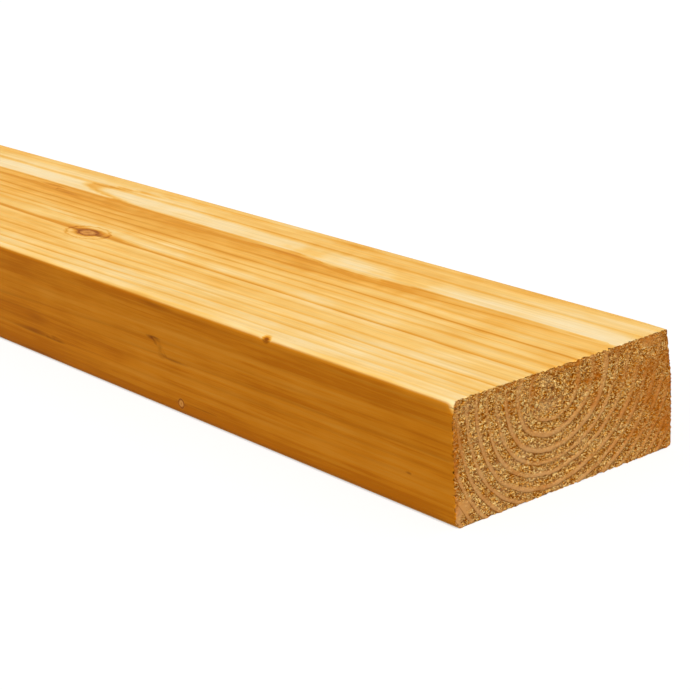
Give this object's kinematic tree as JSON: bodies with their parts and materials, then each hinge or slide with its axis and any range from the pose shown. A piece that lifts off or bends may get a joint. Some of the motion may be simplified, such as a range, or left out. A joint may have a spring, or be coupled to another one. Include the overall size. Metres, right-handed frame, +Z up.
{
  "type": "timber plank",
  "caption": "Straight planed softwood framing timber with eased long arrises, square-sawn ends and one worn end corner, lying on its wide face.",
  "frame": {"origin": "centre of the underside, on the floor that the plank lies on", "axes": "+X along the grain towards the end with the worn corner, +Y across the width towards the worn corner's side, +Z up through the thickness"},
  "size_m": [2.4, 0.089, 0.038],
  "materials": {
    "softwood": "planed bare softwood, satin, with growth-ring lines and knots; ends show sawn end grain"
  },
  "bodies": {
    "root": {"timber_plank": "softwood"}
  },
  "joints": []
}
